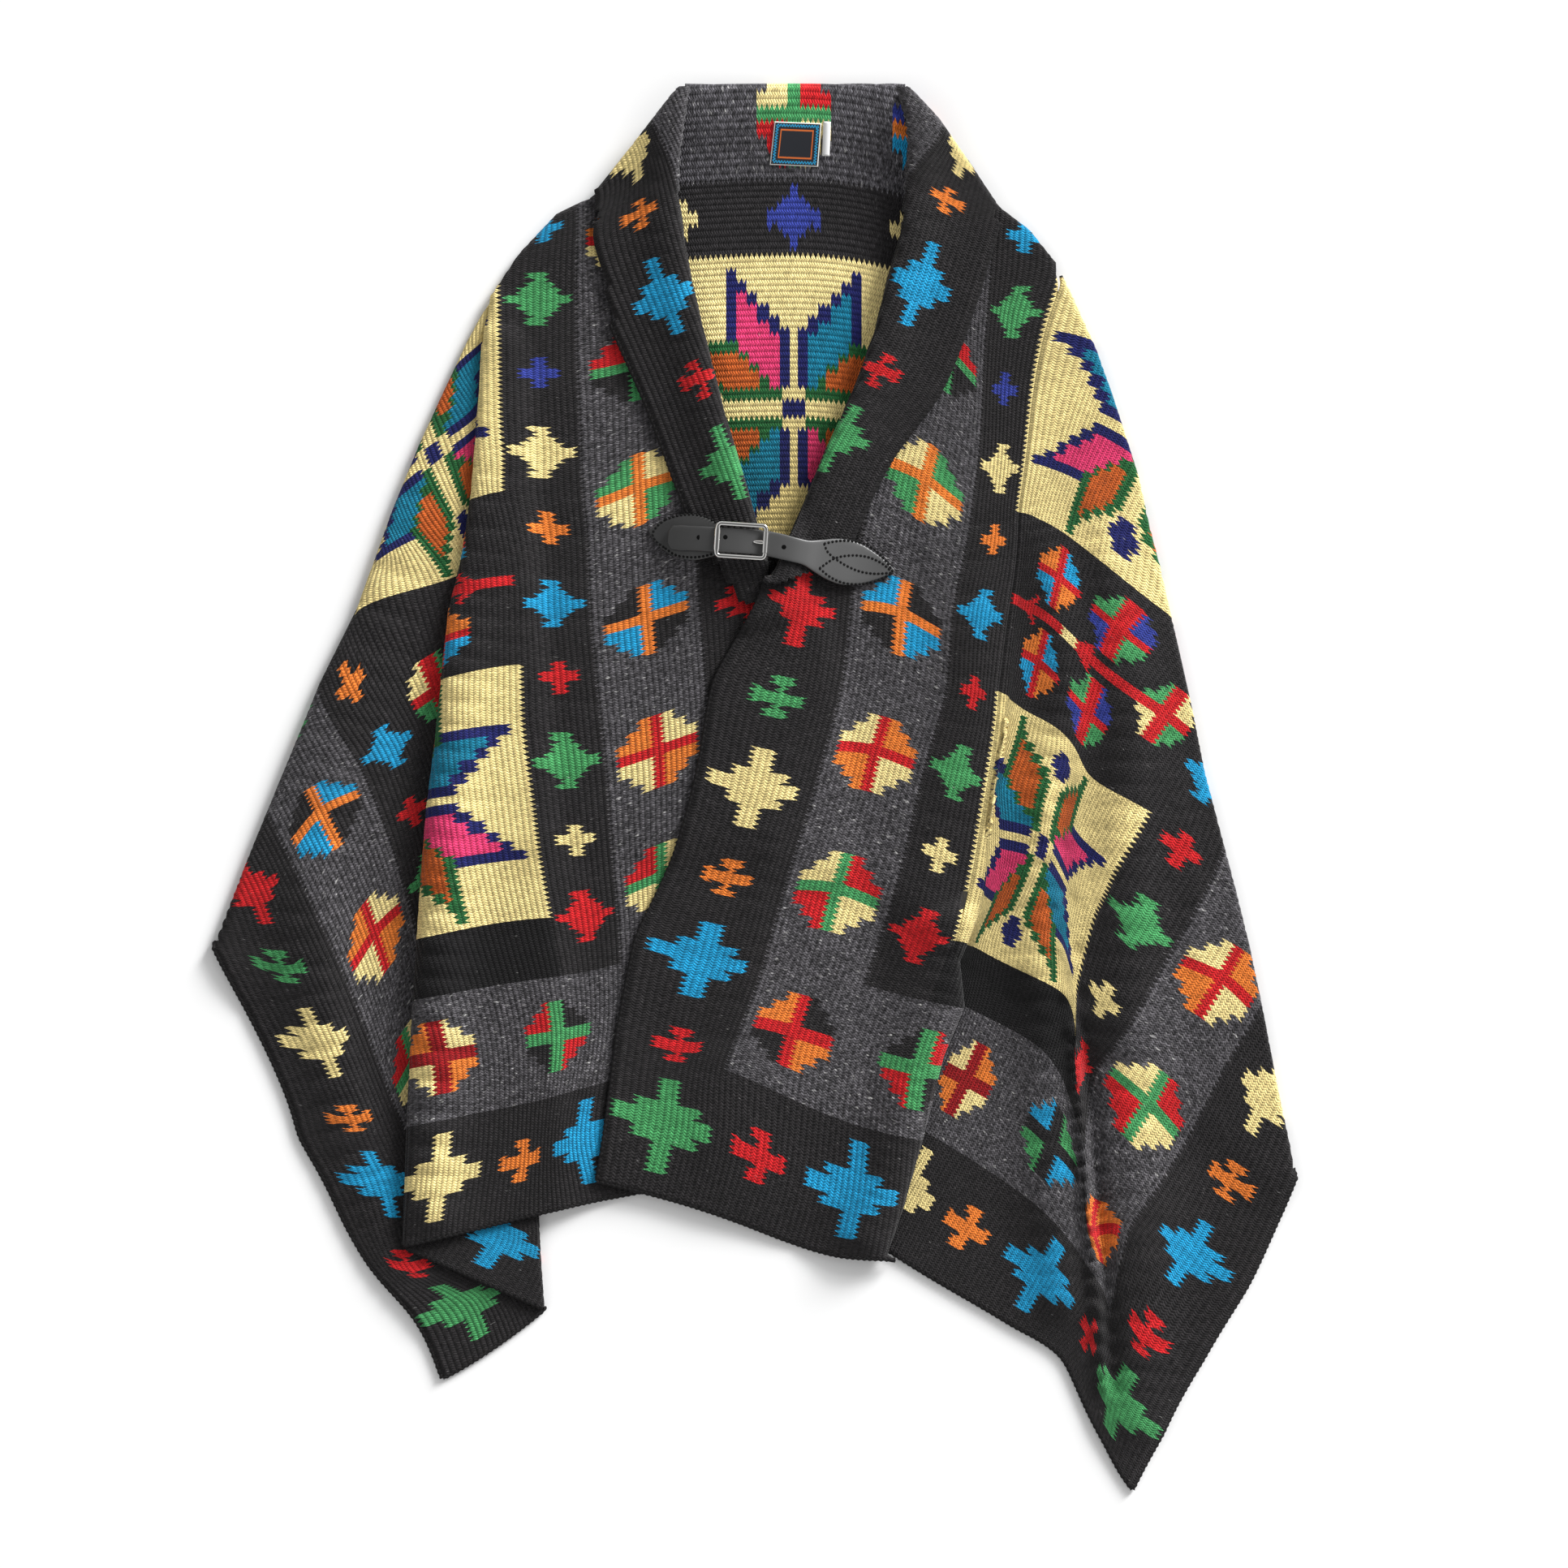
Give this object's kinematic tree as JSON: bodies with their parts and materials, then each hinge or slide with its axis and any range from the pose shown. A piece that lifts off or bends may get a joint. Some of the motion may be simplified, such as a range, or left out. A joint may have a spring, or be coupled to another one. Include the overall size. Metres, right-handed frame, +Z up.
{
  "type": "blanket poncho",
  "caption": "Rectangular hand-woven wool blanket worn as a poncho, laid flat, front edges folded out as a shawl collar and joined by a buckled leather strap.",
  "frame": {"origin": "centre of the bounding box at the surface the garment lies on", "axes": "+Z up off the surface, +Y towards the neck, +X towards the right of the picture"},
  "size_m": [0.9981, 1.299, 0.0371],
  "materials": {
    "woven_wool": "matt weft-faced wool weave, charcoal ground with bright woven stars and crosses",
    "black_leather": "satin black bridle leather, black stitching",
    "bright_metal": "polished nickel plate",
    "label_cloth": "fine woven label",
    "tag_cloth": "plain white satin tape"
  },
  "bodies": {
    "root": {"blanket_back": "woven_wool", "blanket_left_wing": "woven_wool", "blanket_left_pleat": "woven_wool", "blanket_left_front": "woven_wool", "blanket_right_wing": "woven_wool", "blanket_right_front": "woven_wool", "lapel_left": "woven_wool", "lapel_right": "woven_wool", "strap_tab": "black_leather", "strap_tongue": "black_leather", "buckle_frame": "bright_metal", "buckle_roller": "bright_metal", "buckle_prong": "bright_metal", "label_woven": "label_cloth", "label_tag": "tag_cloth"}
  },
  "joints": []
}
